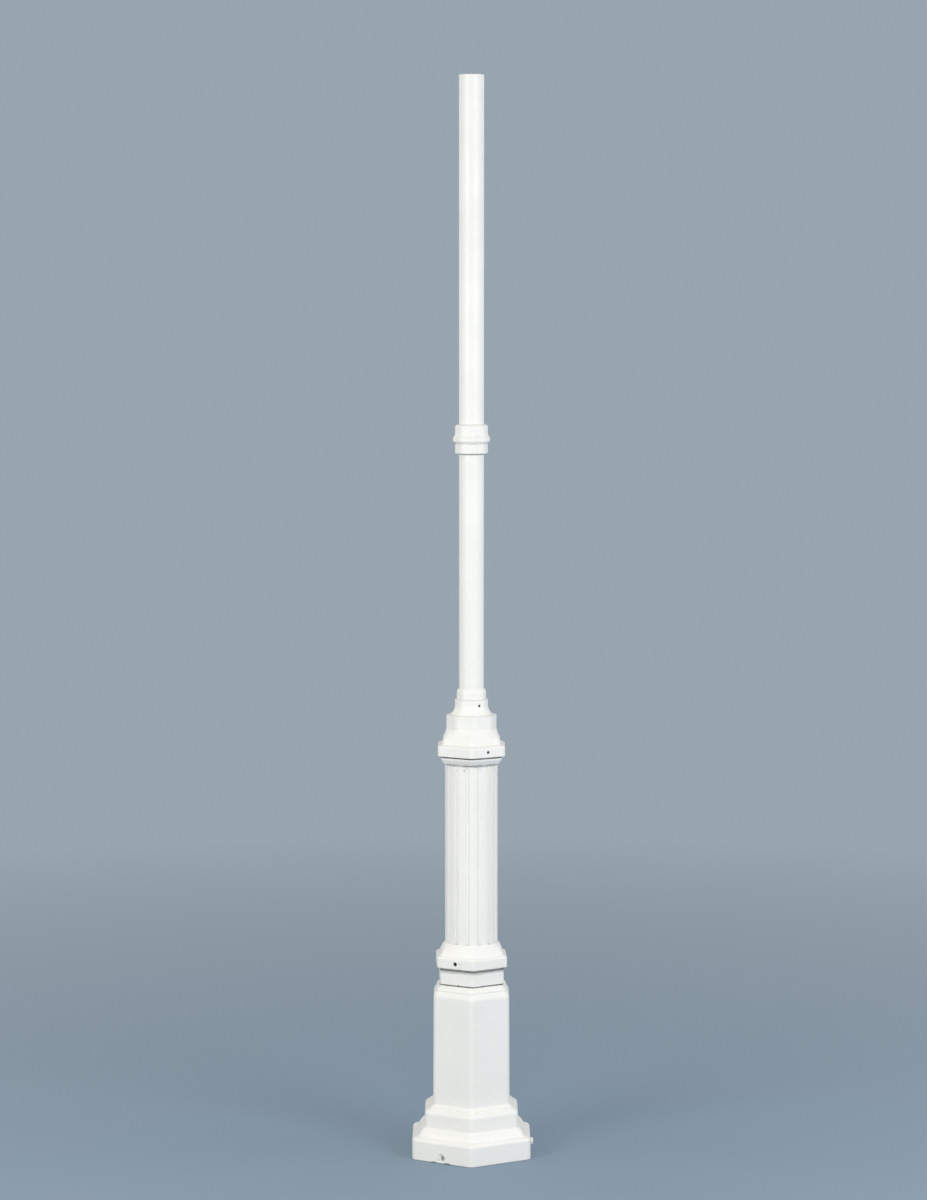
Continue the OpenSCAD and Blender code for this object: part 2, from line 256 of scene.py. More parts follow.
def addNode(tree, kind, values=None, **settings):
    node = tree.nodes.new(kind)
    for key, value in settings.items():
        setattr(node, key, value)
    for key, value in (values or {}).items():
        node.inputs[key].default_value = value
    return node


def join(tree, source, target):
    tree.links.new(source, target)


def objectPlace(tree):
    return addNode(tree, "ShaderNodeTexCoord").outputs["Object"]


def noiseOver(tree, place, **values):  # noise on the given place, with its sockets' values
    texture = addNode(tree, "ShaderNodeTexNoise", values)
    join(tree, place, texture.inputs["Vector"])
    return texture


def stretch(tree, source, low, high, start=0, end=1):  # maps a range of values to another
    node = addNode(tree, "ShaderNodeMapRange",
                   {"From Min": low, "From Max": high, "To Min": start, "To Max": end})
    join(tree, source, node.inputs["Value"])
    return node.outputs[0]


def combine(tree, operation, first, second):
    node = addNode(tree, "ShaderNodeMath", operation=operation)
    for socket, value in zip(node.inputs, (first, second)):
        if isinstance(value, (int, float)):
            socket.default_value = value
        else:
            join(tree, value, socket)
    return node.outputs[0]


def blendColour(tree, mask, under, over):  # the node's colours go in at 6 and 7 and come out at 2
    node = addNode(tree, "ShaderNodeMix", data_type="RGBA")
    join(tree, mask, node.inputs[0])
    for socket, value in ((node.inputs[6], under), (node.inputs[7], over)):
        if isinstance(value, tuple):
            socket.default_value = value
        else:
            join(tree, value, socket)
    return node.outputs[2]


mottle = {"broad": 6, "broadDetail": 3, "broadShare": 0.7, "fine": 90, "fineDetail": 4, "fineShare": 0.3,
          "range": (0.35, 0.65)}


def makeMottle():  # broad and fine unevenness of a paint's shade, about 0 to 1
    s = mottle
    group, given, result = effect("paintMottle", {"Broad": s["broad"], "Fine": s["fine"]}, "Value")
    place = objectPlace(group)
    broad = noiseOver(group, place, Detail=s["broadDetail"])
    fine = noiseOver(group, place, Detail=s["fineDetail"])
    join(group, given["Broad"], broad.inputs["Scale"])
    join(group, given["Fine"], fine.inputs["Scale"])
    both = combine(group, "ADD", combine(group, "MULTIPLY", broad.outputs[0], s["broadShare"]),
                   combine(group, "MULTIPLY", fine.outputs[0], s["fineShare"]))
    join(group, stretch(group, both, *s["range"]), result)
    return group


# painted shade: the ambient occlusion darkens the paint's colour in corners and under rings
cornerShade = {"distance": 0.012, "amount": 0.5, "rays": 8, "depth": (0.5, 0.15),
         "scale": 45, "detail": 5, "patches": (0.35, 0.62, 0.75, 1)}


def makeCornerShade():  # painted shade: colour darkened where corners and rings hem the surface in, in uneven patches
    s = cornerShade
    group, given, result = effect(
        "paintedCornerShade", {"Distance": s["distance"], "Amount": s["amount"]}, "Mask")
    corner = addNode(group, "ShaderNodeAmbientOcclusion", samples=s["rays"])
    join(group, given["Distance"], corner.inputs["Distance"])
    patches = noiseOver(group, objectPlace(group), Scale=s["scale"], Detail=s["detail"])
    depth = stretch(group, corner.outputs["AO"], *s["depth"])
    uneven = stretch(group, patches.outputs[0], *s["patches"])
    mask = combine(group, "MULTIPLY", combine(group, "MULTIPLY", depth, uneven), given["Amount"])
    join(group, mask, result)
    return group


# painted shadow: a dark line at one height, under an overhanging ring or in a joint
shadowLine = {"height": 0.5, "spread": 0.004, "amount": 0.5, "scale": 60, "detail": 4,
             "ragged": (0.3, 0.7, 0.6, 1.4), "fade": (1, 0.3)}


def makeShadowLine():  # a painted shadow line at one height, under a ring or in a joint
    s = shadowLine
    group, given, result = effect(
        "shadowLine", {"Height": s["height"], "Spread": s["spread"], "Amount": s["amount"]}, "Mask")
    place = objectPlace(group)
    parts = addNode(group, "ShaderNodeSeparateXYZ")
    join(group, place, parts.inputs[0])
    patches = noiseOver(group, place, Scale=s["scale"], Detail=s["detail"])
    away = combine(group, "ABSOLUTE",
                   combine(group, "SUBTRACT", parts.outputs["Z"], given["Height"]), 0)
    edge = combine(group, "MULTIPLY", given["Spread"],
                   stretch(group, patches.outputs[0], *s["ragged"]))
    line = stretch(group, combine(group, "DIVIDE", away, edge), *s["fade"])
    join(group, combine(group, "MULTIPLY", line, given["Amount"]), result)
    return group


peel = {"grain": 0.5, "stretch": 1, "scale": 260, "detail": 2, "share": 0.35,
        "grainScale": 70, "grainDetail": 5, "grainRoughness": 0.6}


def makePeel():  # orange peel of the paint over the grain of the metal below it
    s = peel
    group, given, result = effect("paintPeel", {"Grain": s["grain"], "Stretch": s["stretch"]}, "Height")
    place = objectPlace(group)
    squeeze = addNode(group, "ShaderNodeCombineXYZ", {"X": 1, "Y": 1})
    join(group, given["Stretch"], squeeze.inputs["Z"])
    drawn = addNode(group, "ShaderNodeVectorMath", operation="MULTIPLY")
    join(group, place, drawn.inputs[0])
    join(group, squeeze.outputs[0], drawn.inputs[1])
    bumps = noiseOver(group, place, Scale=s["scale"], Detail=s["detail"])
    grain = noiseOver(group, drawn.outputs[0], Scale=s["grainScale"], Detail=s["grainDetail"],
                      Roughness=s["grainRoughness"])
    both = combine(group, "ADD", combine(group, "MULTIPLY", bumps.outputs[0], s["share"]),
                   combine(group, "MULTIPLY", grain.outputs[0], given["Grain"]))
    join(group, both, result)
    return group


mottleEffect = makeMottle()
cornerShadeEffect = makeCornerShade()
shadowLineEffect = makeShadowLine()
peelEffect = makePeel()


def newMaterial(name):
    material = bpy.data.materials.new(name)
    material.use_nodes = True
    tree = material.node_tree
    return material, tree, tree.nodes["Principled BSDF"]


def useEffect(tree, group, **values):
    node = tree.nodes.new("ShaderNodeGroup")
    node.node_tree = group
    for key, value in values.items():
        node.inputs[key].default_value = value
    return node.outputs[0]


# the paint's near-black colour is painted shade, laid into corners and under the rings
whitePaint = {
    "shade": (0.885, 0.868, 0.823, 1), "dullShade": (0.835, 0.82, 0.775, 1),
    "paintedShade": (0.13, 0.125, 0.115, 1), "dullRoughness": 0.08, "bump": 0.35, "peelDepth": 0.0006,
}


def makePaint(name, grain, drawn, roughness, cornerShadeAmount, paintedShadeLines):
    s = whitePaint
    material, tree, shader = newMaterial(name)
    uneven = useEffect(tree, mottleEffect)
    colour = blendColour(tree, uneven, s["dullShade"], s["shade"])
    # painted shade: the dark colour goes into corners and into shadow lines under the rings
    paintedShade = useEffect(tree, cornerShadeEffect, Amount=cornerShadeAmount)
    colour = blendColour(tree, paintedShade, colour, s["paintedShade"])
    for height, spread, amount in paintedShadeLines:
        paintedShade = useEffect(tree, shadowLineEffect, Height=height * mm, Spread=spread * mm, Amount=amount)
        colour = blendColour(tree, paintedShade, colour, s["paintedShade"])
    join(tree, colour, shader.inputs["Base Color"])
    join(tree, stretch(tree, uneven, 0, 1, roughness + s["dullRoughness"], roughness),
         shader.inputs["Roughness"])
    bump = addNode(tree, "ShaderNodeBump", {"Strength": s["bump"], "Distance": s["peelDepth"]})
    join(tree, useEffect(tree, peelEffect, Grain=grain, Stretch=drawn), bump.inputs["Height"])
    join(tree, bump.outputs[0], shader.inputs["Normal"])
    return material


bareMetal = {"broad": 120, "fine": 900, "rubbed": 1.5, "rubbedRoughness": 0.15}


def makeBare(name, shade, roughness, metallic):
    s = bareMetal
    material, tree, shader = newMaterial(name)
    uneven = useEffect(tree, mottleEffect, Broad=s["broad"], Fine=s["fine"])
    rubbed = tuple(s["rubbed"] * part for part in shade[:3]) + (1,)
    join(tree, blendColour(tree, uneven, shade, rubbed), shader.inputs["Base Color"])
    join(tree, stretch(tree, uneven, 0, 1, roughness, roughness + s["rubbedRoughness"]),
         shader.inputs["Roughness"])
    shader.inputs["Metallic"].default_value = metallic
    return material


castShadowLines = (  # painted shadow under each ring and in the joints: its height and half height in millimetres, and its strength
    (levels("neck_block")[0] + 1.5, 2.5, 0.75),
    (levels("middle_collar")[0] - 6, 11, 0.45),
    (levels("trim_ring")[0] - 4, 4.5, 0.55),
    (levels("neck_ring")[0], 1.5, 0.12),
)
# painted shadow line under the band ring
poleShadowLines = ((levels("band_ring")[0] - 1.5, 3.5, 0.7),)

castPaint = makePaint("castPaint", grain=0.8, drawn=1, roughness=0.42,
                      cornerShadeAmount=0.6, paintedShadeLines=castShadowLines)
polePaint = makePaint("polePaint", grain=0.35, drawn=0.15, roughness=0.36,
                      cornerShadeAmount=0.4, paintedShadeLines=poleShadowLines)
screwSteel = makeBare("screwSteel", (0.05, 0.05, 0.055, 1), roughness=0.4, metallic=0.9)
undercoat = makeBare("undercoat", (0.42, 0.42, 0.41, 1), roughness=0.6, metallic=0)
print("finishes: cast paint, pole paint, screw steel, undercoat")


base = {
    "corner": 19, "plinthEdge": 3, "plinthTop": 65, "plinthRound": 8,
    "mouldings": (  # half width, height and rounding, from the plinth's ledge to the pedestal's foot
        (164, 71, 1), (157, 85.2, 9), (145.5, 96, 0.8), (144, 96, 0.8), (144, 153, 18),
        (127.5, 153, 1.2), (127.5, 158, 1.2), (118, 158, 10.5),
    ),
    "head": 116.5,
    "headSteps": (  # way out and up from the pedestal's top edge, and rounding
        (0, -33, 7), (-5, -23, 5), (-8, -20.7, 0.8), (-9.5, -20, 0.8), (-9.5, -18, 0.8),
        (-8, -16.8, 2.5), (-11.5, -8.5, 5),
    ),
    "seatSteps": ((2, -4.8, 1.2), (0, -4, 0.8), (0, 0, 0.6)),  # the same from the neck block's foot
    "wiringHole": 60, "deck": 10, "throat": 84, "throatRound": 2,
    "hollow": (  # half width, height and rounding of the inside, from the throat down
        (84, 507, 6), (106.5, 489, 8), (108, 149, 6), (134, 135, 4), (134, 93, 4),
    ),
    "plinthWall": 12, "plinthRoof": 16, "roofRound": 4, "footRound": 1.5,
    "screwHole": 6.4, "screwDepth": 20, "screwMouth": 0.6, "boltAngles": (0, 120), "boltHeight": 33,
    "recessAngle": 240, "recessHeight": 18, "recess": 7.4, "recessDepth": 8, "recessMouth": 0.5,
    "recessAside": 4,
    "lugAngles": (60, 180, 300), "lugRadius": 125, "lugWidth": 46, "lugHeight": 18, "lugSegments": 40,
    "lugWall": 10, "anchorHole": 9, "anchorSegments": 32, "anchorPast": 5,
    "damage": (  # way aside and height on the recess's flat, half sizes in, across and up, seed
        (-3, 21, (2.6, 9, 7), 3), (-28, -0.5, (9, 13, 4.2), 11), (19, -0.5, (10, 14.5, 4.6), 14),
    ),
    "chips": (  # the same, down to the undercoat
        (-10, 20, (1, 2.4, 5.6), 5), (-4, 28.5, (0.9, 6, 2.1), 8), (-11, 11, (0.8, 3.2, 2), 9),
    ),
}


def makeLug(angle, face):  # a rounded ear for a ground bolt, grown into the plinth's wall
    s = base
    radius = s["lugWidth"] / 2
    bm = bmesh.new()
    bmesh.ops.create_cone(bm, cap_ends=True, segments=s["lugSegments"], radius1=radius * mm,
                          radius2=radius * mm, depth=s["lugHeight"] * mm)
    outer = [vert for vert in bm.verts if vert.co.x > 0]
    bmesh.ops.translate(bm, verts=outer, vec=((face - s["lugWall"] - s["lugRadius"] - radius) * mm, 0, 0))
    bmesh.ops.transform(bm, verts=bm.verts[:], matrix=turned(angle)
                        @ Matrix.Translation((s["lugRadius"] * mm, 0, s["lugHeight"] / 2 * mm)))
    return meshFrom("lug", bm, castPaint)


def makeAnchorDrill(angle):
    s = base
    outline = [(s["anchorHole"], -s["anchorPast"], 0, 1),
               (s["anchorHole"], s["lugHeight"] + s["anchorPast"], 0, 1)]
    bm = loft(roundRing(s["anchorSegments"]), outline, closed=False)
    bmesh.ops.translate(bm, verts=bm.verts[:], vec=turned(angle) @ Vector((s["lugRadius"] * mm, 0, 0)))
    return meshFrom("anchorDrill", bm, castPaint)


def makeRecess(face):
    s = base
    hole = drill(s["recessAngle"], s["recessHeight"], s["recess"], face - s["recessDepth"], face,
                 s["recessMouth"], undercoat)
    aside = turned(s["recessAngle"]) @ Vector((0, s["recessAside"] * mm, 0))
    hole.data.transform(Matrix.Translation(aside))
    return hole


def makeBase():
    s = base
    foot, top = levels("base_casting")
    plinth = halfAcross("base_casting", 6, hexFlat)
    block = halfAcross("neck_block", 6, hexFlat + neckTurn)
    outline = [
        (plinth, foot, s["plinthEdge"]),
        (plinth, s["plinthTop"], s["plinthRound"]),
        *s["mouldings"],
        *steps(s["head"], top, s["headSteps"]),
        *steps(block, top, s["seatSteps"]),
        (s["wiringHole"], top, 1, 1),
        (s["wiringHole"], top - s["deck"], 0, 1),
        (s["throat"], top - s["deck"], s["throatRound"]),
        *s["hollow"],
        (plinth - s["plinthWall"], s["plinthTop"] - s["plinthRoof"], s["roofRound"]),
        (plinth - s["plinthWall"], foot, s["footRound"]),
    ]
    piece = meshFrom("baseCasting", loft(flatRing(6, hexFlat), outline, s["corner"]), castPaint)
    carve(piece, [makeLug(angle, plinth) for angle in s["lugAngles"]], "UNION")
    cuts = [drill(angle, s["boltHeight"], s["screwHole"], plinth - s["screwDepth"], plinth,
                  s["screwMouth"], castPaint) for angle in s["boltAngles"]]
    cuts += [lump(s["recessAngle"], plinth, *damage, castPaint) for damage in s["damage"]]
    cuts += [lump(s["recessAngle"], plinth, *chip, undercoat) for chip in s["chips"]]
    cuts += [makeRecess(plinth)]
    cuts += [makeAnchorDrill(angle) for angle in s["lugAngles"]]
    carve(piece, cuts)
    finishPiece(piece, "white_paint", "base_casting")


makeBase()

plinthBolt = {
    "corner": 1.1, "cuts": 3, "shank": 6.2, "length": 30, "seat": 0.2,
    "head": 9.5, "height": 9.5, "edge": 0.4,
    "crown": ((0, -1.6, 1), (-0.6, 0, 1, 0.8), (-4, 0, 0, 1)),  # way out and up from the head's edge
}


def makeBolt(name, node, angle):
    s = plinthBolt
    face = halfAcross("base_casting", 6, hexFlat)
    outline = [
        (s["shank"], face - s["length"], 0, 1),
        (s["shank"], face + s["seat"], 0, 1),
        (s["head"], face + s["seat"], s["edge"]),
        *steps(s["head"], face + s["height"], s["crown"]),
    ]
    bm = loft(flatRing(6, 0, s["cuts"]), outline, s["corner"], closed=False)
    piece = meshFrom(name, aim(bm, angle, base["boltHeight"]), castPaint)
    finishPiece(piece, "white_paint", node)


makeBolt("plinthBoltRight", "plinth_bolt_right", base["boltAngles"][0])
makeBolt("plinthBoltBack", "plinth_bolt_back", base["boltAngles"][1])

neckBlock = {
    "corner": 11,
    "footSteps": ((-7, 0, 0.3), (-7, 3.2, 0.3), (0, 3.2, 0.7)),  # way out and up, and rounding
    "topSteps": ((0, -7, 0.7), (-8, -7, 0.3), (-8, 0, 0.3)),
    "cableWay": 30, "cableEdge": 0.5, "deck": 10, "wall": 10, "deckRound": 2, "wallEdge": 0.5,
    "chipAngle": 240, "chip": (6, 4.5, (1.5, 3.2, 2.8), 26),  # way aside and up, half sizes and seed
}


def makeNeckBlock():
    s = neckBlock
    foot, top = levels("neck_block")
    flat = hexFlat + neckTurn
    block = halfAcross("neck_block", 6, flat)
    outline = [
        *steps(block, foot, s["footSteps"]),
        *steps(block, top, s["topSteps"]),
        (s["cableWay"], top, s["cableEdge"], 1),
        (s["cableWay"], top - s["deck"], 0, 1),
        (block - s["wall"], top - s["deck"], s["deckRound"]),
        (block - s["wall"], foot, s["wallEdge"]),
    ]
    piece = meshFrom("neckBlock", loft(flatRing(6, flat), outline, s["corner"]), castPaint)
    aside, up, size, seed = s["chip"]
    carve(piece, [lump(flat + s["chipAngle"], block, aside, foot + up, size, seed, undercoat)])
    finishPiece(piece, "white_paint", "neck_block")


makeNeckBlock()

middleCollar = {
    "corner": 11, "cuts": 7, "bore": 81.4, "boreEdge": 0.4,
    "band": ((0, 0, 3), (0, 33.5, 5)),  # way out and up from the ring's foot, and rounding
    "shoulder": ((97, 37.5, 2),),  # half width, height from the foot and rounding
    "waist": ((94, -17, 12, 0.35),),  # half width, height from the top, rounding and roundness
    "mouth": ((3, -2, 3, 1), (1.5, 0, 0.6, 1), (0, 0, 0.3, 1)),  # out and up from the bore's top
    "screwHole": 6.25, "screwHeight": 17, "screwAngles": (240, 0, 120), "screwRecess": 4,
    "screwMouth": 0.8, "screwPast": 6,
    "chipAngle": 240,
    "chips": (  # way aside and up from the foot, half sizes in, across and up, seed
        (15, 19, (0.6, 1.4, 1.8), 21), (20, 14, (0.5, 1.8, 1.1), 22), (24, 20, (0.5, 1.1, 1.1), 23),
    ),
}
setScrew = {"corner": 0.4, "cuts": 4, "clearance": 0.05, "chamfer": 0.8, "edge": 0.3, "headEdge": 0.4,
            "socket": 2.6, "socketDepth": 6, "socketTip": 0.8}


def makeScrew(name, node, angle, height, start, end, hole):
    s = setScrew
    radius = hole - s["clearance"]
    outline = [
        (radius - s["chamfer"], start, 0, 1),
        (radius, start + s["chamfer"], s["edge"], 1),
        (radius, end - s["chamfer"], s["headEdge"], 1),
        (radius - s["chamfer"], end, s["edge"], 1),
        (s["socket"], end, s["edge"]),
        (s["socket"], end - s["socketDepth"], s["edge"]),
        (s["socket"] / 3, end - s["socketDepth"] - s["socketTip"], 0),
    ]
    bm = loft(flatRing(6, 0, s["cuts"]), outline, s["corner"], closed=False)
    piece = meshFrom(name, aim(bm, angle, height), screwSteel)
    finishPiece(piece, "screw_steel", node)


def makeMiddleCollar():
    s = middleCollar
    foot, top = levels("middle_collar")
    flat = hexFlat + neckTurn
    ring = halfAcross("middle_collar", 6, flat)
    outline = [
        (s["bore"], foot, s["boreEdge"], 1),
        *steps(ring, foot, s["band"]),
        *steps(0, foot, s["shoulder"]),
        *steps(0, top, s["waist"]),
        *steps(s["bore"], top, s["mouth"]),
    ]
    piece = meshFrom("middleCollar", loft(flatRing(6, flat, s["cuts"]), outline, s["corner"]), castPaint)
    carve(piece, [drill(angle + neckTurn, foot + s["screwHeight"], s["screwHole"],
                        s["bore"] - s["screwPast"], ring, s["screwMouth"], castPaint)
                  for angle in s["screwAngles"]])
    carve(piece, [lump(flat + s["chipAngle"], ring, aside, foot + up, size, seed, undercoat)
                  for aside, up, size, seed in s["chips"]])
    finishPiece(piece, "white_paint", "middle_collar")


def makeCollarScrews():
    s = middleCollar
    height = levels("middle_collar")[0] + s["screwHeight"]
    end = halfAcross("middle_collar", 6, hexFlat + neckTurn) - s["screwRecess"]
    for side, angle in zip(("front", "right", "back"), s["screwAngles"]):
        makeScrew("collarScrew" + side.title(), "collar_screw_" + side, angle + neckTurn, height,
                  extent("fluted_shaft"), end, s["screwHole"])


makeMiddleCollar()
makeCollarScrews()

flutedShaft = {
    "flutes": 14, "firstFlute": 4, "radius": 7.2, "depth": 5.2, "lip": 0.8, "lipReach": 3,
    "perFlute": 32, "bore": 70, "edge": 0.5,
    "chipAngle": 254, "chipDrop": 18, "chipSize": (1.2, 3, 3.4), "chipSeed": 6,  # under the trim ring
}


def makeShaft():
    s = flutedShaft
    foot, top = levels("fluted_shaft")
    outside = extent("fluted_shaft")
    away = outside + s["radius"] - s["depth"]
    pitch = math.tau / s["flutes"]

    def fluted(turn):  # share of the shaft's radius that is left, with the flutes' lips softened
        turn = (turn - math.radians(s["firstFlute"]) + pitch / 2) % pitch - pitch / 2
        miss = away * math.sin(turn)
        if abs(miss) >= s["radius"]:
            return 1
        gap = outside - away * math.cos(turn) + math.sqrt(s["radius"] ** 2 - miss ** 2)
        if gap < -s["lipReach"] * s["lip"]:
            return 1
        softened = (gap + math.hypot(gap, s["lip"]) - s["lip"] * math.exp(-gap * gap)) / 2
        return 1 - max(0, softened) / outside

    outline = [
        (outside, foot, s["edge"]),
        (outside, top, s["edge"]),
        (s["bore"], top, s["edge"], 1),
        (s["bore"], foot, s["edge"], 1),
    ]
    ring = roundRing(s["flutes"] * s["perFlute"], fluted)
    piece = meshFrom("flutedShaft", loft(ring, outline), castPaint)
    chipHeight = levels("trim_ring")[0] - s["chipDrop"]
    carve(piece, [lump(s["chipAngle"], outside, 0, chipHeight, s["chipSize"], s["chipSeed"], undercoat)])
    finishPiece(piece, "white_paint", "fluted_shaft")


makeShaft()

trimRing = {"corner": 10, "gap": 1.7, "bore": 81.4, "boreEdge": 0.3, "taper": 8, "band": 6, "edge": 1.2}


def makeTrimRing():
    s = trimRing
    foot, top = levels("trim_ring")
    top -= s["gap"]
    trim = halfAcross("trim_ring", 6, hexFlat)
    outline = [
        (s["bore"], foot, s["boreEdge"], 1),
        (trim - s["taper"], foot, s["edge"]),
        (trim, top - s["band"], s["edge"]),
        (trim, top, s["edge"]),
        (s["bore"], top, s["boreEdge"], 1),
    ]
    piece = meshFrom("trimRing", loft(flatRing(6, hexFlat), outline, s["corner"]), castPaint)
    finishPiece(piece, "white_paint", "trim_ring")


makeTrimRing()

cap = {  # heights are over the ring's foot
    "corner": 14, "cuts": 7, "footGap": 3, "hub": 86, "hubEdge": 0.5, "shaftBore": 81.4, "boreEdge": 0.3,
    "band": ((0, 0, 2), (0, 31, 4.5)),  # way out and up from the ring's foot, and rounding
    "skirt": (  # half width, height, rounding and roundness
        (91.5, 35, 3), (88, 38.5, 3), (88, 50, 5), (83, 63, 8, 0.3), (78.5, 76, 3, 1), (77.5, 80, 1, 1),
    ),
    "skirtTop": 80, "shaftSeat": 27, "cableWay": 30, "poleSeat": 45, "poleBore": 38.5,
    "drumCorner": 26, "drumCuts": 2, "drumFoot": 77, "drum": ((73.8, 77, 0), (73.8, 122.5, 1.6)),
    "neck": 49.3,
    "neckSteps": ((12, 124.5, 3), (4, 135, 6), (0, 146, 6)),  # way out from the neck, height, rounding
    "neckEdge": 2, "mouthEdge": 0.4,
    "screwHole": 4.4, "screwHeight": 16.5, "screwAngles": (300, 60, 180), "screwRecess": 4,
    "neckScrewHole": 3.9, "neckScrewHeight": 154, "neckScrewAngles": (300, 120), "neckScrewRecess": 2,
    "screwMouth": 0.5, "screwPast": 6, "poleGap": 0.4,
}


def makeCap():
    s = cap
    foot, top = levels("cap")
    hubFoot = foot
    foot += s["footGap"]
    ring = halfAcross("cap", 6, hexFlat)
    skirtOutline = [
        (s["shaftBore"], hubFoot, s["boreEdge"], 1),
        (s["hub"], hubFoot, s["hubEdge"]),
        (s["hub"], foot, s["hubEdge"]),
        *steps(ring, foot, s["band"]),
        *steps(0, foot, s["skirt"]),
        (s["poleBore"], foot + s["skirtTop"], 0, 1),
        (s["poleBore"], foot + s["poleSeat"], 0, 1),
        (s["cableWay"], foot + s["poleSeat"], 0, 1),
        (s["cableWay"], foot + s["shaftSeat"], 0, 1),
        (s["shaftBore"], foot + s["shaftSeat"], 0, 1),
    ]
    drumOutline = [
        (s["poleBore"], foot + s["drumFoot"], 0, 1),
        *steps(0, foot, s["drum"]),
        *steps(s["neck"], foot, s["neckSteps"]),
        (s["neck"], top, s["neckEdge"]),
        (s["poleBore"], top, s["mouthEdge"], 1),
    ]
    skirt = loft(flatRing(6, hexFlat, s["cuts"]), skirtOutline, s["corner"])
    drum = loft(flatRing(8, octFlat, s["drumCuts"]), drumOutline, s["drumCorner"])
    piece = meshFrom("capCasting", skirt, castPaint)
    carve(piece, [meshFrom("drum", drum, castPaint)], "UNION")
    cuts = [drill(angle, foot + s["screwHeight"], s["screwHole"], s["shaftBore"] - s["screwPast"], ring,
                  s["screwMouth"], castPaint) for angle in s["screwAngles"]]
    cuts += [drill(angle, foot + s["neckScrewHeight"], s["neckScrewHole"], s["poleBore"] - s["screwPast"],
                   s["neck"], s["screwMouth"], castPaint) for angle in s["neckScrewAngles"]]
    carve(piece, cuts)
    finishPiece(piece, "white_paint", "cap")


def makeCapScrews():
    s = cap
    foot = levels("cap")[0] + s["footGap"]
    end = halfAcross("cap", 6, hexFlat) - s["screwRecess"]
    for side, angle in zip(("front", "right", "left"), s["screwAngles"]):
        makeScrew("capScrew" + side.title(), "cap_screw_" + side, angle, foot + s["screwHeight"],
                  extent("fluted_shaft"), end, s["screwHole"])
    start, end = s["poleBore"] - s["poleGap"], s["neck"] - s["neckScrewRecess"]
    for side, angle in zip(("front", "back"), s["neckScrewAngles"]):
        makeScrew("neckScrew" + side.title(), "neck_screw_" + side, angle, foot + s["neckScrewHeight"],
                  start, end, s["neckScrewHole"])


makeCap()
makeCapScrews()

neckRing = {
    "corner": 16, "cuts": 2, "bore": 38.5, "boreEdge": 0.2, "edge": 0.8,
    "topSteps": ((0, -12, 4), (-1.6, -4.8, 3), (-4, 0, 0.4)),  # way out and up, and rounding
}


def makeNeckRing():
    s = neckRing
    foot, top = levels("neck_ring")
    ring = halfAcross("neck_ring", 8, octFlat)
    outline = [
        (s["bore"], foot, s["boreEdge"], 1),
        (ring, foot, s["edge"]),
        *steps(ring, top, s["topSteps"]),
        (s["bore"], top, s["boreEdge"], 1),
    ]
    bm = loft(flatRing(8, octFlat, s["cuts"]), outline, s["corner"])
    finishPiece(meshFrom("neckRing", bm, castPaint), "white_paint", "neck_ring")


makeNeckRing()

pole = {"segments": 96, "wall": 4, "rim": 0.8, "spigot": 37}


def makePoles():
    s = pole
    radius = extent("lower_pole")
    bore = radius - s["wall"]
    foot, joint = levels("lower_pole")
    top = levels("upper_pole")[1]
    bandTop = levels("band_collar")[1]
    lower = [
        (bore, foot, 0, 1),
        (radius, foot, s["rim"], 1),
        (radius, joint, s["rim"], 1),
        (bore, joint, 0, 1),
    ]
    upper = [
        (bore, joint, 0, 1),
        (s["spigot"], joint, 0, 1),
        (s["spigot"], bandTop, 0, 1),
        (radius, bandTop, s["rim"], 1),
        (radius, top, s["rim"], 1),
        (bore, top, s["rim"], 1),
    ]
    for name, node, outline in (("lowerPole", "lower_pole", lower), ("upperPole", "upper_pole", upper)):
        piece = meshFrom(name, loft(roundRing(s["segments"]), outline), polePaint)
        finishPiece(piece, "white_paint", node)


makePoles()

poleBand = {
    "corner": 20, "cuts": 2, "edge": 2.5,
    "bore": 38.5, "boreEdge": 0.2, "spigotBore": 37.1, "mouthEdge": 0.3,
    "groove": 4, "grooveDepth": 2.5, "grooveEdge": 0.5,
    "beadHeight": 13, "beadFoot": 4.5, "beadTop": 3, "flareRounds": (4, 5), "topRound": 9,
}


def makeBandRing():
    s = poleBand
    foot, top = levels("band_ring")
    band = halfAcross("band_ring", 8, octFlat)
    outline = [
        (s["bore"], foot, s["boreEdge"], 1),
        (band, foot, s["edge"]),
        (band, top, s["edge"]),
        (s["bore"], top, s["boreEdge"], 1),
    ]
    bm = loft(flatRing(8, octFlat, s["cuts"]), outline, s["corner"])
    finishPiece(meshFrom("bandRing", bm, castPaint), "white_paint", "band_ring")


def makeBandCollar():
    s = poleBand
    foot, top = levels("band_collar")
    joint = levels("lower_pole")[1]
    band = halfAcross("band_ring", 8, octFlat)
    bead = halfAcross("band_collar", 8, octFlat)
    beadFoot = foot + s["groove"]
    beadTop = beadFoot + s["beadHeight"]
    flare = bead - band
    outline = [
        (s["bore"], foot, s["boreEdge"], 1),
        (band - s["grooveDepth"], foot, s["grooveEdge"]),
        (band - s["grooveDepth"], beadFoot, s["grooveEdge"]),
        (bead, beadFoot, s["beadFoot"]),
        (bead, beadTop, s["beadTop"]),
        (band + flare / 3, beadTop + flare, s["flareRounds"][0]),
        (band, beadTop + 2 * flare, s["flareRounds"][1]),
        (band, top, s["topRound"]),
        (s["spigotBore"], top, s["mouthEdge"], 1),
        (s["spigotBore"], joint, 0, 1),
        (s["bore"], joint, 0, 1),
    ]
    bm = loft(flatRing(8, octFlat, s["cuts"]), outline, s["corner"])
    finishPiece(meshFrom("bandCollar", bm, castPaint), "white_paint", "band_collar")


makeBandRing()
makeBandCollar()

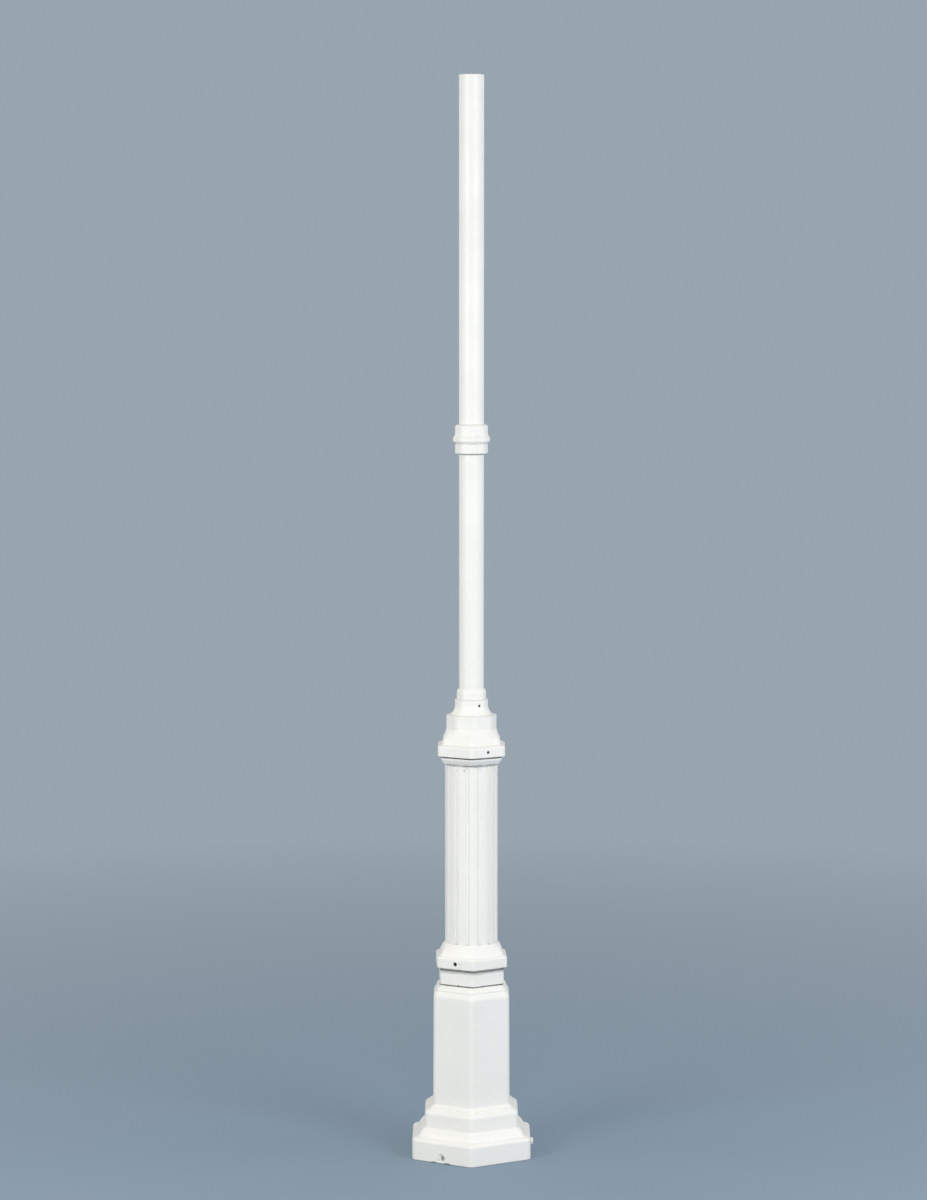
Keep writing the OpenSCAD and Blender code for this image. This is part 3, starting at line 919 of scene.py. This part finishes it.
studio = {
    "backdrop": (0.316, 0.376, 0.431, 1),
    "floor": (0.25, 0.33, 0.41, 1), "floorRoughness": 0.9, "floorGloss": 0.2,
    "floorRadius": 40, "floorSegments": 96,
    "fade": (0.6, 6),  # the floor turns into the backdrop between these, in metres from the post
    "skyLight": 0.47, "skyShade": (0.984, 0.987, 1, 1),
}


def seenRays(tree):  # rays that show the backdrop: straight, mirrored or through glass
    path = addNode(tree, "ShaderNodeLightPath")
    seen = combine(tree, "MAXIMUM", path.outputs["Is Camera Ray"], path.outputs["Is Glossy Ray"])
    return combine(tree, "MAXIMUM", seen, path.outputs["Is Transmission Ray"])


def mixShaders(tree, share, first, second, target):
    mix = addNode(tree, "ShaderNodeMixShader")
    for source, socket in zip((share, first, second), mix.inputs):
        join(tree, source, socket)
    join(tree, mix.outputs[0], target)


def makeFloor():
    s = studio
    bm = bmesh.new()
    bmesh.ops.create_circle(bm, cap_ends=True, segments=s["floorSegments"], radius=s["floorRadius"])
    material, tree, shader = newMaterial("studioFloor")
    shader.inputs["Base Color"].default_value = s["floor"]
    shader.inputs["Roughness"].default_value = s["floorRoughness"]
    shader.inputs["Specular IOR Level"].default_value = s["floorGloss"]
    away = addNode(tree, "ShaderNodeVectorMath", operation="LENGTH")
    join(tree, objectPlace(tree), away.inputs[0])
    far = stretch(tree, away.outputs["Value"], *s["fade"])
    glow = addNode(tree, "ShaderNodeEmission", {"Color": s["backdrop"]})
    mixShaders(tree, combine(tree, "MULTIPLY", far, seenRays(tree)), shader.outputs[0], glow.outputs[0],
               tree.nodes["Material Output"].inputs["Surface"])
    meshFrom("studioFloor", bm, material)


def makeSky():
    s = studio
    world = bpy.data.worlds.new("studio")
    bpy.context.scene.world = world
    world.use_nodes = True
    tree = world.node_tree
    light = tree.nodes["Background"]
    light.inputs["Color"].default_value = s["skyShade"]
    light.inputs["Strength"].default_value = s["skyLight"]
    seen = addNode(tree, "ShaderNodeBackground", {"Color": s["backdrop"]})
    mixShaders(tree, seenRays(tree), light.outputs[0], seen.outputs[0],
               tree.nodes["World Output"].inputs["Surface"])


makeFloor()
makeSky()

lamps = {  # power, size, place and shade of each soft lamp
    "topLamp": (24, 1.5, (0, -4.6, 5.7), (1, 0.986, 0.962)),
    "lowFill": (42, 1.4, (0, -6.5, 1), (1, 0.994, 0.966)),
    "sideLeft": (29, 3, (-5, -0.45, 2.6), (1, 0.963, 0.904)),
    "sideRight": (48, 3, (5, -0.45, 2.6), (0.903, 0.941, 1)),
    "frontLeft": (117, 2.5, (-3.5, -4, 2.75), (1, 0.984, 0.957)),
    "frontRight": (110, 2.5, (3.5, -4, 2.75), (0.968, 0.982, 1)),
    "backLeft": (30, 3, (-4.5, 4.5, 3.2), (1, 0.99, 0.975)),
    "backRight": (30, 3, (4.5, 4.5, 3.2), (0.975, 0.99, 1)),
}
lampAim = Vector((0, 0, 1.4))


def makeLamp(name, power, size, place, shade):
    lamp = bpy.data.lights.new(name, "AREA")
    lamp.energy = power
    lamp.size = size
    lamp.color = shade
    holder = bpy.data.objects.new(name, lamp)
    bpy.context.scene.collection.objects.link(holder)
    holder.location = place
    holder.rotation_euler = (lampAim - holder.location).to_track_quat("-Z", "Y").to_euler()


for name, values in lamps.items():
    makeLamp(name, *values)
print("studio with", len(lamps), "lamps")

cameraSettings = {"aside": -0.0244, "away": 10.8655, "height": 2.7654, "pitch": 5.48, "lens": 106.8}


def makeCamera():
    s = cameraSettings
    lens = bpy.data.cameras.new("camera")
    lens.lens = s["lens"]
    camera = bpy.data.objects.new("camera", lens)
    bpy.context.scene.collection.objects.link(camera)
    camera.location = (s["aside"], -s["away"], s["height"])
    camera.rotation_euler = (math.radians(90 - s["pitch"]), 0, 0)
    bpy.context.scene.camera = camera
    print("camera", s["away"], "m away,", s["lens"], "mm lens")


makeCamera()
bpy.context.scene.view_settings.view_transform = "Standard"
